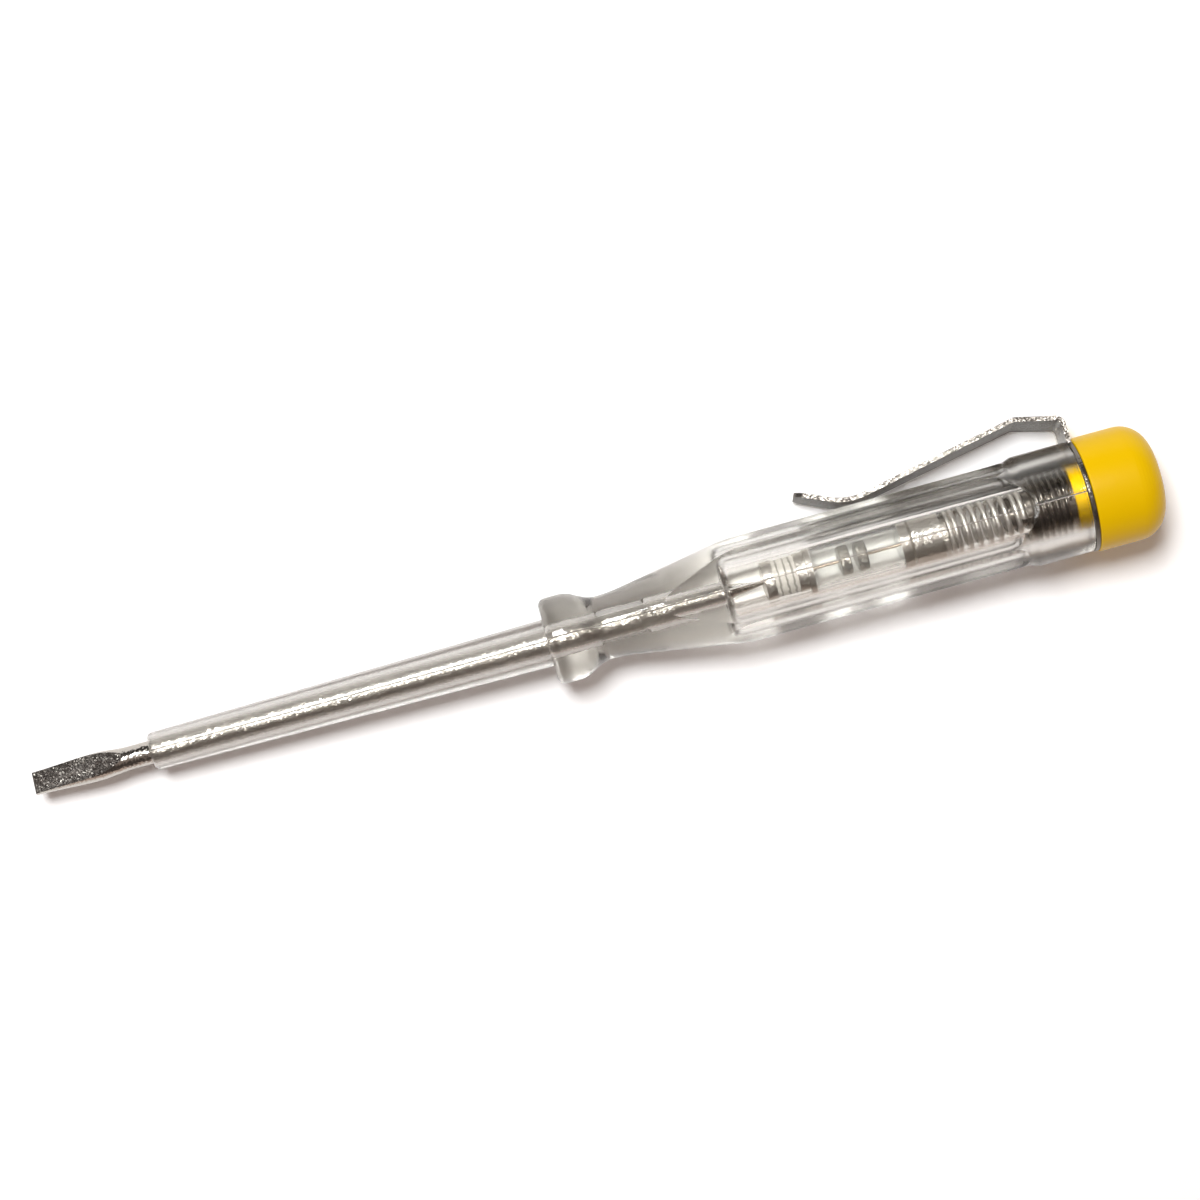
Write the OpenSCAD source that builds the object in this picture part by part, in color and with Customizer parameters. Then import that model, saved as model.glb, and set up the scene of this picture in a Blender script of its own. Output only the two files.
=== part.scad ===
// Voltage tester screwdriver: a slim flat blade with a clear sleeve, a clear faceted handle that holds a
// resistor, a neon lamp and a contact spring, a screw cap and a pocket clip.
// Millimetres. +X runs from the blade tip to the cap, +Z is up. The origin is the middle of the tip's end.
// A roll is an angle about the tool's axis, from +Z towards +Y.

/* [Blade] */
// Bare metal in front of the sleeve
bare_l = 14.5; // [12:0.5:18]
// Width of the blade at its tip
tip_w = 2.8; // [2.4:0.1:3.2]
// Thickness of the blade at its tip
tip_t = 0.6; // [0.4:0.05:0.8]
// Greatest width of the blade, where it was pressed flat
swell_w = 3.4; // [3:0.1:3.8]
// Thickness of the blade where the flat faces begin to rise
swell_t = 2; // [1.6:0.1:2.2]
// Distance from the tip to the greatest width
swell_x = 7.8; // [6:0.2:9]
// Distance from the tip to where the flat faces begin to rise
rise_x = 7.4; // [5.5:0.1:8.5]
// Distance from the tip to the end of the flat faces
flat_l = 12; // [11:0.2:13]
// Diameter of the round shank
shank_d = 2.8; // [2.4:0.1:3.2]
// Length of the pointed rear end of the shank, which stands free in the bore
shank_point_l = 4.7; // [3:0.1:6]
// Length of round shank between the bore's floor and the point
shank_stand = 0.3; // [0.2:0.1:1]
// Width across the pressed wings that key the shank in the handle
wing_w = 3.2; // [3:0.1:4]
// Thickness of the wings
wing_t = 2.3; // [1.8:0.1:2.6]
// Length of the wings
wing_l = 7; // [5:0.5:9]
// Roll of the blade's flat face
blade_roll = 34; // [0:1:90]
// Roll of the wings' flat face
wing_roll = 102; // [0:1:180]

/* [Sleeve] */
// Length of the sleeve in front of the handle
sleeve_l = 49.25; // [40:0.25:60]
// Diameter of the sleeve at its front end
sleeve_front_d = 4.53; // [4.2:0.01:5]
// Diameter of the sleeve at the handle
sleeve_rear_d = 5.75; // [5.2:0.05:6.2]
// Rounding of the sleeve's front edge
sleeve_edge_r = 0.55; // [0.2:0.05:0.7]
// Depth of the sleeve in the handle
sleeve_depth = 3.1; // [2:0.1:4]

/* [Handle] */
// Length of the handle
handle_l = 66.45; // [64:0.05:75]
// Diameter of the flange that stops the fingers
flange_d = 10.6; // [9.6:0.1:11.4]
// Length of the flange's rim
flange_l = 2.75; // [2:0.05:4]
// Rounding of the flange's front edge
flange_edge_r = 0.9; // [0.3:0.1:1.2]
// Diameter of the neck
neck_d = 7.8; // [7.2:0.1:8.4]
// Slope of the flange's back
flange_slope = 27; // [20:1:35]
// Radius of the bends of the flange's back
flange_back_r = 2.8; // [2:0.1:3.5]
// Slope of the flare between the neck and the body
flare_slope = 9.4; // [8:0.1:12]
// Radius of the flare's two bends
flare_r = 15; // [8:1:18]
// Diameter over the body's edges
body_d = 12.82; // [12.2:0.02:13.2]
// Distance from the axis to a window flat, through which the lamp is seen
window_h = 4.88; // [4.6:0.02:5.2]
// Width of a window flat
window_w = 5.62; // [5.2:0.02:6]
// Tilt of the narrow flats along both edges of a window flat
strip_tilt = 11.5; // [9:0.5:14]
// Distance from the axis to a side flat
side_h = 5.95; // [5.85:0.01:6.1]
// Turn from a window flat to a side flat
side_turn = 67.5; // [64:0.5:70]
// Roll of the front window flat
window_roll = 19.8; // [0:0.2:45]
// Radius of the flats' run-out at the collar
runout_r = 1.4; // [0.5:0.1:1.8]
// How much sooner the narrow flats run out than the window flats, and the side flats than the narrow ones
runout_step = 0.1; // [0.05:0.05:0.3]
// Diameter of the round collar at the rear
collar_d = 13.62; // [13.3:0.02:14.4]
// Length of the collar
collar_l = 7.7; // [6:0.1:9]
// Slope of the step up to the collar
collar_slope = 22; // [18:1:40]
// Radius of the bends of that step
collar_bend_r = 1; // [0.4:0.1:1.2]
// Rounding of the collar's rear edge
collar_edge_r = 0.25; // [0.1:0.05:0.4]

/* [Bore] */
// Diameter of the bore in the handle
bore_d = 8; // [7:0.1:8.4]
// Depth of the bore
bore_l = 44.6; // [44:0.1:48]

/* [Resistor] */
// Length of the resistor with its end caps
resistor_l = 5.2; // [4:0.1:6]
// Length of a resistor end cap
resistor_cap_l = 1.2; // [0.8:0.1:1.6]
// Wall of a resistor end cap
resistor_cap_t = 0.35; // [0.2:0.05:0.5]
// Diameter of the resistor over its end caps
resistor_d = 7; // [6:0.1:7.2]

/* [Lamp] */
// Length of the neon lamp with its end caps
lamp_l = 12.8; // [10:0.1:14]
// Wall of the lamp's glass
glass_t = 0.45; // [0.3:0.05:0.6]
// Length of the lamp's front cap
lamp_front_cap_l = 0.7; // [0.5:0.1:1.2]
// Length of the lamp's rear cap
lamp_rear_cap_l = 1.1; // [0.6:0.1:1.6]
// Wall of the lamp's caps
lamp_cap_t = 0.2; // [0.15:0.05:0.3]
// Diameter of the electrodes
electrode_d = 5.4; // [4:0.1:6]
// Length of each electrode
electrode_l = 1.3; // [0.8:0.1:2]
// Gap between the electrodes
electrode_gap = 0.8; // [0.5:0.1:1.2]
// Diameter of the lead wires
lead_d = 0.6; // [0.4:0.1:0.8]
// Distance from the lamp's front to the middle of the electrode gap
spark_x = 5.9; // [4.5:0.1:7]

/* [Contacts] */
// Length of the contact plug's head
plug_l = 3.9; // [3:0.1:5]
// Length of the plug's stem in the spring
plug_stem_l = 2.2; // [1:0.1:3]
// Diameter of the spring wire
wire_d = 0.7; // [0.5:0.05:0.8]
// Turns of the spring between its closed ends
spring_turns = 6; // [4:1:7]
// Length of the screw's nose in the spring
nose_l = 2.4; // [1.5:0.1:3]
// Length of the screw thread
thread_l = 5.9; // [4.5:0.1:7]
// Pitch of the screw thread
thread_pitch = 0.75; // [0.5:0.05:1]
// Depth of the screw thread
thread_depth = 0.46; // [0.3:0.02:0.6]
// Diameter of the screw's stem in the cap
stem_d = 3; // [2.4:0.1:3.6]
// Diameter of the touch contact at the end of the cap
touch_d = 4; // [3.8:0.1:5]
// Thickness of the touch contact
touch_t = 0.7; // [0.5:0.1:1]
// Depth of the touch contact below the end of the cap
touch_depth = 0.35; // [0.2:0.05:0.8]

/* [Cap] */
// Diameter of the cap
cap_d = 14.1; // [13.7:0.1:14.8]
// Length of the cap behind the clip's ring
cap_l = 9.3; // [8:0.1:11]
// Rounding of the cap's rear edge
cap_edge_r = 3.6; // [2.5:0.1:4]
// Rise of the dome on the cap's end
dome_h = 0.35; // [0.1:0.05:0.6]
// Length of the cap's spigot in the handle
spigot_l = 1.3; // [1:0.1:2]

/* [Clip] */
// Thickness of the clip's sheet metal
sheet_t = 0.55; // [0.4:0.05:0.65]
// Diameter of the clip's ring
ring_d = 13.8; // [13.4:0.1:14.4]
// Width of the clip at its ring
clip_root_w = 6; // [5:0.1:6.6]
// Width of the clip at its foot
clip_foot_w = 4.4; // [3.6:0.1:5]
// Height of the bend above the ring, from the tool's axis
bend_h = 9.35; // [8.8:0.05:10]
// Height of the arm's kink, from the tool's axis
kink_h = 10.7; // [10.2:0.1:11.4]
// Distance from the ring to the kink
kink_dx = 5.6; // [4.5:0.1:7]
// Distance from the ring to the foot
foot_dx = 27.5; // [24:0.5:30]
// Distance from the ring to the tip of the clip
clip_l = 33.5; // [31:0.5:36]
// Height of the clip's tip, from the tool's axis
clip_tip_h = 9.2; // [8.4:0.1:10]
// Radius of the bend above the ring, in the middle of the sheet
clip_bend_r = 0.9; // [0.6:0.1:1.2]
// Radius of the kink
kink_r = 0.8; // [0.5:0.1:2]
// Radius of the foot
foot_r = 6.5; // [3:0.5:8]
// Roll of the clip
clip_roll = 114; // [90:1:130]

/* [Clearances] */
// Shrinkage gap between moulded plastic and metal
mould_gap = 0.02; // [0.01:0.01:0.05]
// Gap between pieces that seat on each other
seat_gap = 0.02; // [0.01:0.01:0.05]
// Gap round the lamp, the contact plug and the spring in the bore
train_gap = 0.2; // [0.15:0.05:0.4]
// Gap between the spring and the stems in it
guide_gap = 0.25; // [0.15:0.05:0.4]
// Gap between the clip's ring and the cap's spigot
ring_gap = 0.16; // [0.1:0.02:0.3]
// Gap between the screw's crests and the bore
thread_gap = 0.08; // [0.05:0.01:0.1]
// Gap between the clip's foot and the handle
foot_gap = 0.06; // [0.03:0.01:0.2]
// Gap in the clip's flexing joint
flex_gap = 0.03; // [0.02:0.01:0.06]

/* [Hidden] */

$fn = 96;
arc_steps = 8;
wire_sides = 8;
turn_steps = 20;
// Reach of cutting shapes across the tool, and past the end of what they cut
far = 40;
over = 1;
// Chamfer of small turned pieces
chamfer = 0.3;
// Straight part of the neck next to the flange's back
neck_land = 0.35;

// Stations along the tool's axis
flange_x = bare_l + sleeve_l;
rear_x = flange_x + handle_l;
rim_x = flange_x + flange_l;
bore_x = rear_x - bore_l;
point_x = bore_x + shank_stand + shank_point_l;
collar_x = rear_x - collar_l;
screw_x = rear_x - spigot_l - thread_l;
ring_x = rear_x + seat_gap;
cap_x = ring_x + sheet_t + seat_gap;
end_x = cap_x + cap_l;
touch_x = end_x - touch_depth - touch_t;

// Radii
shank_r = shank_d / 2;
neck_r = neck_d / 2;
body_r = body_d / 2;
collar_r = collar_d / 2;
bore_r = bore_d / 2;
train_r = bore_r - train_gap;
crest_r = bore_r - thread_gap;
cap_r = cap_d / 2;
spigot_r = bore_r - mould_gap - thread_gap / 2;
wire_r = wire_d / 2;
stem_r = stem_d / 2;

// The flange's back sets where the neck begins, and the wings lie in the neck
neck_x = rim_x + bend_run(flange_d / 2 - neck_r, flange_slope, flange_back_r, flange_back_r) + neck_land;
press_l = wing_l / 5;
wing_x = neck_x - press_l;

// The train of pieces in the bore, from the shank's point to the screw
resistor_x = point_x + seat_gap;
resistor_end = resistor_x + resistor_l;
lamp_x = resistor_end + seat_gap;
lamp_end = lamp_x + lamp_l;
plug_x = lamp_end + seat_gap;
spring_x = plug_x + plug_l + seat_gap;
spring_l = screw_x - seat_gap - spring_x;

resistor_r = resistor_d / 2;
core_r = resistor_r - resistor_cap_t;
coat_r = (resistor_r + core_r) / 2;
lamp_cap_r = train_r;
glass_r = lamp_cap_r - lamp_cap_t - seat_gap;
lead_r = lead_d / 2;
electrode_r = electrode_d / 2;
front_electrode_x = lamp_x + spark_x - electrode_gap / 2 - electrode_l;
rear_electrode_x = lamp_x + spark_x + electrode_gap / 2;
glass_end_t = 2 * glass_t;
guide_r = train_r - wire_d - guide_gap;

// The clip's joint sits just above the ring, in the middle of the sheet
flex_x = ring_x + sheet_t / 2;
flex_h = cap_r + sheet_t / 2 + seat_gap + flex_gap;
foot_h = body_r + foot_gap + sheet_t / 2;
foot_turn = atan((kink_h - foot_h) / (foot_dx - kink_dx))
    + atan((clip_tip_h - foot_h) / (clip_l - foot_dx));
// The foot's bend lies above the corner of its path by this much
foot_lift = foot_r * (1 / cos(foot_turn / 2) - 1);

// Length along the axis of an S-shaped bend that climbs by rise
function bend_run(rise, slope, ra, rb) =
    (ra + rb) * sin(slope) + (abs(rise) - (ra + rb) * (1 - cos(slope))) / tan(slope);

// Points [x, r] of an S-shaped bend from radius r0 to r1: an arc, a straight slope and an arc back
function bend(x0, r0, r1, slope, ra, rb) =
    let (way = r1 > r0 ? 1 : -1, x1 = x0 + bend_run(r1 - r0, slope, ra, rb))
    concat(
        [for (i = [0:arc_steps]) let (a = slope * i / arc_steps)
            [x0 + ra * sin(a), r0 + way * ra * (1 - cos(a))]],
        [for (i = [arc_steps:-1:0]) let (a = slope * i / arc_steps)
            [x1 - rb * sin(a), r1 - way * rb * (1 - cos(a))]]);

// Points of an arc round [x, r]
function arc(x, r, radius, from, to) =
    [for (i = [0:arc_steps]) let (a = from + (to - from) * i / arc_steps)
        [x + radius * cos(a), r + radius * sin(a)]];

// Smooth step from 0 to 1
function ease(t) = (1 - cos(180 * t)) / 2;

// A solid turned about the tool's axis, from [x, r] points
module turned(points) {
    rotate([0, 90, 0]) rotate_extrude() polygon([for (p = points) [p[1], p[0]]]);
}

// A round bar along the tool's axis
module bar(x, l, r) {
    translate([x, 0, 0]) rotate([0, 90, 0]) cylinder(h = l, r = r);
}

// A cup along the tool's axis: closed at its front, or at its rear
module cup(x, l, r, wall, closed_at_rear) {
    difference() {
        bar(x, l, r);
        bar(closed_at_rear ? x - wall : x + wall, l, r - wall);
    }
}

// Turns a shape whose outward side is +Y to a roll about the tool's axis
module rolled(roll) {
    rotate([90 - roll, 0, 0]) children();
}

// The blade and shank in one bar, grown all round by gap
module blade_bar(gap) {
    wing_rise = wing_w / 2 - shank_r;
    point_r = shank_r / 4;
    widen = [for (i = [0:arc_steps]) let (t = i / arc_steps)
        [swell_x * t, tip_w / 2 + (swell_w - tip_w) / 2 * ease(t)]];
    narrow = [for (i = [1:arc_steps]) let (t = i / arc_steps)
        [swell_x + (flat_l - swell_x) * t, swell_w / 2 + (shank_r - swell_w / 2) * ease(t)]];
    wing_up = [for (i = [0:arc_steps]) let (t = i / arc_steps)
        [wing_x + press_l * t, shank_r + wing_rise * ease(t)]];
    wing_down = [for (i = [0:arc_steps]) let (t = i / arc_steps)
        [wing_x + wing_l - press_l * (1 - t), shank_r + wing_rise * ease(1 - t)]];
    point = [[bore_x + shank_stand, shank_r], [point_x + gap, point_r]];
    outline = concat(widen, narrow, wing_up, wing_down, point);
    difference() {
        turned(concat([[0, 0]], [for (p = outline) [p[0], p[1] + gap]], [[point_x + gap, 0]]));
        for (side = [0, 180]) {
            rolled(blade_roll + side) tip_cut();
            rolled(wing_roll + side) wing_cut(gap);
        }
    }
}

// What is pressed away on one side of the blade
module tip_cut() {
    reach = swell_w;
    runout = 0.1;
    linear_extrude(height = 2 * reach, center = true)
        polygon([[-over, tip_t / 2], [0, tip_t / 2], [rise_x, swell_t / 2], [flat_l, shank_r + runout],
            [flat_l, reach], [-over, reach]]);
}

// What is pressed away on one side of the wings
module wing_cut(gap) {
    low = wing_t / 2 + gap;
    slant = wing_w / 2 - low;
    linear_extrude(height = 2 * wing_w, center = true)
        polygon([[wing_x - slant, low + 2 * slant], [wing_x + slant, low], [wing_x + wing_l - slant, low],
            [wing_x + wing_l + slant, low + 2 * slant]]);
}

module blade() {
    color("lightgray") blade_bar(0);
}

module blade_sleeve() {
    front_r = sleeve_front_d / 2;
    rear_r = sleeve_rear_d / 2;
    color("gainsboro") difference() {
        turned(concat([[bare_l, 0]],
            arc(bare_l + sleeve_edge_r, front_r - sleeve_edge_r, sleeve_edge_r, 180, 90),
            [[flange_x, rear_r], [flange_x + sleeve_depth, rear_r], [flange_x + sleeve_depth, 0]]));
        bar(bare_l - over, sleeve_l + sleeve_depth + 2 * over, shank_r + mould_gap);
    }
}

// What one flat takes off the body, at a distance from the axis, with a round run-out that ends at end
module flat_cut(distance, end) {
    linear_extrude(height = far, center = true)
        polygon(concat([[neck_x, far], [neck_x, distance]],
            arc(end - runout_r, distance + runout_r, runout_r, 270, 360), [[end, far]]));
}

module handle() {
    flange_r = flange_d / 2;
    step_r = collar_r - body_r;
    outline = concat([[flange_x, 0]],
        arc(flange_x + flange_edge_r, flange_r - flange_edge_r, flange_edge_r, 180, 90),
        bend(rim_x, flange_r, neck_r, flange_slope, flange_back_r, flange_back_r),
        bend(neck_x, neck_r, body_r, flare_slope, flare_r, flare_r),
        bend(collar_x - step_r, body_r, collar_r, collar_slope, collar_bend_r, collar_bend_r),
        arc(rear_x - collar_edge_r, collar_r - collar_edge_r, collar_edge_r, 90, 0), [[rear_x, 0]]);
    strip_h = window_h * cos(strip_tilt) + window_w / 2 * sin(strip_tilt);
    color("whitesmoke") difference() {
        turned(outline);
        for (face = [window_roll, window_roll + 180]) {
            rolled(face) flat_cut(window_h, collar_x);
            for (way = [-1, 1]) {
                rolled(face + way * strip_tilt) flat_cut(strip_h, collar_x - runout_step);
                rolled(face + way * side_turn) flat_cut(side_h, collar_x - 2 * runout_step);
            }
        }
        bar(bore_x, bore_l + over, bore_r);
        bar(flange_x - over, sleeve_depth + seat_gap + over, sleeve_rear_d / 2 + mould_gap);
        blade_bar(mould_gap);
    }
}

module resistor_core() {
    end_t = resistor_cap_t + seat_gap;
    color("ivory") bar(resistor_x + end_t, resistor_l - 2 * end_t, core_r - seat_gap);
}

module resistor_coat() {
    start = resistor_x + resistor_cap_l + seat_gap;
    coat_l = resistor_l - 2 * (resistor_cap_l + seat_gap);
    color("tan") difference() {
        bar(start, coat_l, coat_r);
        bar(start - over, coat_l + 2 * over, core_r);
    }
}

module resistor_front_cap() {
    color("silver") cup(resistor_x, resistor_cap_l, resistor_r, resistor_cap_t, false);
}

module resistor_rear_cap() {
    color("silver") cup(resistor_end - resistor_cap_l, resistor_cap_l, resistor_r, resistor_cap_t, true);
}

module lamp_glass() {
    start = lamp_x + lamp_cap_t + seat_gap;
    glass_l = lamp_l - 2 * (lamp_cap_t + seat_gap);
    color("aliceblue") difference() {
        bar(start, glass_l, glass_r);
        bar(start + glass_end_t, glass_l - 2 * glass_end_t, glass_r - glass_t);
        bar(start - over, glass_l + 2 * over, lead_r + mould_gap);
    }
}

module lamp_front_cap() {
    color("silver") cup(lamp_x, lamp_front_cap_l, lamp_cap_r, lamp_cap_t, false);
}

module lamp_rear_cap() {
    color("silver") cup(lamp_end - lamp_rear_cap_l, lamp_rear_cap_l, lamp_cap_r, lamp_cap_t, true);
}

module lamp_front_lead() {
    start = lamp_x + lamp_cap_t + seat_gap;
    color("peru") bar(start, front_electrode_x - seat_gap - start, lead_r);
}

module lamp_rear_lead() {
    start = rear_electrode_x + electrode_l + seat_gap;
    color("peru") bar(start, lamp_end - lamp_cap_t - seat_gap - start, lead_r);
}

// A round electrode with rounded edges
module electrode(x) {
    edge = electrode_l / 5;
    color("gray") turned(concat([[x, 0]], arc(x + edge, electrode_r - edge, edge, 180, 90),
        arc(x + electrode_l - edge, electrode_r - edge, edge, 90, 0), [[x + electrode_l, 0]]));
}

module lamp_front_electrode() {
    electrode(front_electrode_x);
}

module lamp_rear_electrode() {
    electrode(rear_electrode_x);
}

module contact_plug() {
    stem_end = plug_x + plug_l + plug_stem_l;
    color("silver") turned([[plug_x, 0], [plug_x, train_r - chamfer], [plug_x + chamfer, train_r],
        [plug_x + plug_l, train_r], [plug_x + plug_l, guide_r], [stem_end - chamfer, guide_r],
        [stem_end, guide_r - chamfer], [stem_end, 0]]);
}

// The spring's wire: closed turns at both ends, open turns between them
module contact_spring() {
    front_turns = 2;
    rear_turns = 1;
    coil_r = train_r - wire_r;
    turns = front_turns + spring_turns + rear_turns;
    close_pitch = wire_d + seat_gap;
    open_pitch = (spring_l - wire_d - close_pitch * (front_turns + rear_turns)) / spring_turns;
    function along(t) = spring_x + wire_r + close_pitch * min(t, front_turns)
        + open_pitch * min(max(t - front_turns, 0), spring_turns)
        + close_pitch * max(t - front_turns - spring_turns, 0);
    rings = turns * turn_steps;
    points = [for (i = [0:rings]) let (t = i / turn_steps, a = 360 * t)
        for (k = [0:wire_sides - 1]) let (b = 360 * k / wire_sides, r = coil_r + wire_r * cos(b))
            [along(t) + wire_r * sin(b), r * cos(a), r * sin(a)]];
    sides = [for (i = [0:rings - 1]) for (k = [0:wire_sides - 1])
        let (j = i * wire_sides, n = (k + 1) % wire_sides)
            [j + k, j + n, j + wire_sides + n, j + wire_sides + k]];
    first = [for (k = [wire_sides - 1:-1:0]) k];
    last = [for (k = [0:wire_sides - 1]) rings * wire_sides + k];
    color("silver") polyhedron(points, concat(sides, [first, last]));
}

module contact_screw() {
    nose_x = screw_x - nose_l;
    root_r = crest_r - thread_depth;
    crest_w = thread_pitch / 10;
    flank_w = (thread_pitch - crest_w) / 2;
    crests = floor(thread_l / thread_pitch);
    lead_in = thread_l - crests * thread_pitch;
    thread = [for (i = [0:crests - 1]) let (x = screw_x + lead_in / 2 + thread_pitch * i)
        for (p = [[0, root_r], [flank_w, crest_r], [flank_w + crest_w, crest_r]]) [x + p[0], p[1]]];
    color("silver") turned(concat([[nose_x, 0], [nose_x, guide_r - chamfer], [nose_x + chamfer, guide_r],
        [screw_x, guide_r], [screw_x, root_r]], thread, [[screw_x + thread_l, root_r],
        [screw_x + thread_l, stem_r], [touch_x, stem_r], [touch_x, touch_d / 2],
        [touch_x + touch_t, touch_d / 2], [touch_x + touch_t, 0]]));
}

module cap() {
    front_edge = 0.2;
    side_end = end_x - dome_h - cap_edge_r;
    dome_base = cap_r - cap_edge_r;
    spigot_x = rear_x - spigot_l + seat_gap;
    outline = concat([[spigot_x, 0], [spigot_x, spigot_r], [cap_x, spigot_r]],
        arc(cap_x + front_edge, cap_r - front_edge, front_edge, 180, 90),
        arc(side_end, dome_base, cap_edge_r, 90, 0),
        [for (i = [1:arc_steps]) let (t = i / arc_steps)
            [end_x - dome_h + dome_h * (1 - pow(1 - t, 2)), dome_base * (1 - t)]]);
    color("gold") difference() {
        turned(outline);
        bar(spigot_x - over, touch_x - spigot_x + 2 * over, stem_r + mould_gap);
        bar(touch_x - seat_gap, touch_t + touch_depth + over, touch_d / 2 + mould_gap);
    }
}

module clip_ring() {
    groove_r = sheet_t / 2 + flex_gap;
    color("silver") difference() {
        union() {
            bar(ring_x, sheet_t, ring_d / 2);
            rolled(clip_roll) translate([ring_x, 0, -clip_root_w / 2]) cube([sheet_t, flex_h, clip_root_w]);
        }
        bar(ring_x - over, sheet_t + 2 * over, spigot_r + ring_gap);
        rolled(clip_roll) translate([flex_x, flex_h, 0]) cylinder(h = far, r = groove_r, center = true);
    }
}

// Points round a bend of the clip's path at corner p, between the points before and after it
function rounded(before, p, after, radius) =
    let (u = (before - p) / norm(before - p), v = (after - p) / norm(after - p),
        half = acos(u * v) / 2, away = radius / tan(half),
        centre = p + (u + v) / norm(u + v) * radius / sin(half),
        from = p + u * away - centre, to = p + v * away - centre,
        a0 = atan2(from[1], from[0]), turn = atan2(to[1], to[0]) - a0,
        sweep = turn > 180 ? turn - 360 : turn < -180 ? turn + 360 : turn)
    [for (i = [0:arc_steps]) let (a = a0 + sweep * i / arc_steps) centre + radius * [cos(a), sin(a)]];

// Direction of a path at its point i
function heading(path, i) =
    let (d = path[min(i + 1, len(path) - 1)] - path[max(i - 1, 0)]) d / norm(d);

// The path moved sideways
function beside(path, away) =
    [for (i = [0:len(path) - 1]) let (d = heading(path, i)) path[i] + away * [-d[1], d[0]]];

module clip_arm() {
    start = [flex_x, flex_h];
    bend_at = [flex_x, bend_h];
    kink = [flex_x - kink_dx, kink_h];
    foot = [flex_x - foot_dx, foot_h - foot_lift];
    tip = [flex_x - clip_l, clip_tip_h];
    path = concat([start], rounded(start, bend_at, kink, clip_bend_r), rounded(bend_at, kink, foot, kink_r),
        rounded(kink, foot, tip, foot_r), [tip]);
    upper = beside(path, sheet_t / 2);
    lower = beside(path, -sheet_t / 2);
    side_line = concat(upper, [for (i = [len(path) - 1:-1:0]) lower[i]]);
    end_r = clip_foot_w / 2;
    tip_x = tip[0] - sheet_t;
    color("silver") rolled(clip_roll) intersection() {
        union() {
            linear_extrude(height = clip_root_w, center = true) polygon(side_line);
            for (p = [start, tip])
                translate([p[0], p[1], 0]) cylinder(h = clip_root_w, r = sheet_t / 2, center = true);
        }
        rotate([-90, 0, 0]) linear_extrude(height = far) union() {
            translate([tip_x + end_r, 0]) circle(r = end_r);
            polygon([[tip_x + end_r, -end_r], [foot[0], -end_r], [kink[0], -clip_root_w / 2],
                [flex_x + sheet_t, -clip_root_w / 2], [flex_x + sheet_t, clip_root_w / 2],
                [kink[0], clip_root_w / 2], [foot[0], end_r], [tip_x + end_r, end_r]]);
        }
    }
}

blade();
blade_sleeve();
handle();
resistor_core();
resistor_coat();
resistor_front_cap();
resistor_rear_cap();
lamp_glass();
lamp_front_cap();
lamp_rear_cap();
lamp_front_lead();
lamp_rear_lead();
lamp_front_electrode();
lamp_rear_electrode();
contact_plug();
contact_spring();
contact_screw();
cap();
clip_ring();
clip_arm();
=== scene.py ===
# %% [markdown]
# # A mains tester screwdriver
# This lesson dresses a imported CAD model for a photograph-like render. The tool has a flat steel blade in
# a clear sleeve, a clear faceted handle with a resistor, a neon lamp and a spring inside, a steel pocket
# clip and a yellow screw cap. +X runs from the blade's tip to the cap, and the tool lies on a white
# table.
#
# Everything starts from the frame: the CAD pieces arrive as objects that already sit where they belong.
# We read the box around each of them, so the dressed pieces take the same places and size. The dressed
# tool has to stay the same size.

# %% The frame
import math

import bmesh
import bpy
from mathutils import Matrix, Vector


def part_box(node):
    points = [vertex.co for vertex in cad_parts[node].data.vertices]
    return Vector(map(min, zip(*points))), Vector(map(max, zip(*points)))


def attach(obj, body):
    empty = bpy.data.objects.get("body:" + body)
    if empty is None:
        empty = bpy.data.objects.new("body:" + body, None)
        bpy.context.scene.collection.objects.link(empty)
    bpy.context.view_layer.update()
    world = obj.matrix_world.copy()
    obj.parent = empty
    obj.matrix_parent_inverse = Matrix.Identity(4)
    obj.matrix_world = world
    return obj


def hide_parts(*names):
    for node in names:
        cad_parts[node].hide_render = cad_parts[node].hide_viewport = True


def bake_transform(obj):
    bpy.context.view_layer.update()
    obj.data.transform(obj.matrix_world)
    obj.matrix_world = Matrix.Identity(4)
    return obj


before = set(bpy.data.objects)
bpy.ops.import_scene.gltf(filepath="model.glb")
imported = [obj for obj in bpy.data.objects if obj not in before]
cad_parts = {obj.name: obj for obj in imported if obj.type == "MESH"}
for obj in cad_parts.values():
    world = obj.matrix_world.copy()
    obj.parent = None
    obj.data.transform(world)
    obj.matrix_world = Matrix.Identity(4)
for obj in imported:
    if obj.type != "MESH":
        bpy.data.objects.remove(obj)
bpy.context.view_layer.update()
scene = bpy.context.scene
scene.view_settings.view_transform = "Standard"
print("CAD pieces:", len(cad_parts))

# %% [markdown]
# ## Measures
# We think in millimetres and turn each finished mesh into metres at the end. A piece that replaces a CAD
# node takes its place along the axis from that node's box, so it stays put if the CAD model changes.

# %% Where each piece lies
MM = 0.001


def span(node):
    """First and last millimetre of a node along the tool's axis."""
    low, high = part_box(node)
    return low.x / MM, high.x / MM


sleeve_x = span("blade_sleeve")[0]
flange_x, rear_x = span("handle")
point_x = span("blade")[1]
ring_x, ring_end = span("clip_ring")
screw_nose_x, touch_end = span("contact_screw")
cap_spigot_x, end_x = span("cap")
print(f"sleeve from {sleeve_x:.2f}, handle {flange_x:.2f} to {rear_x:.2f}, end at {end_x:.2f} mm")

# %% [markdown]
# ## Turned pieces
# Most of the tool is round: it was turned, or moulded in a turned mould. Blender could start from
# cylinders, but one outline that is spun about the axis gives the whole shape with all its roundings. An
# outline is a few corners (x, r, rounding): a vertex bevel rounds each corner, and spin sweeps the wire
# about +X.

# %% Outline and spin
ROUND_STEPS = 12
MERGE = 1e-5


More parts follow.
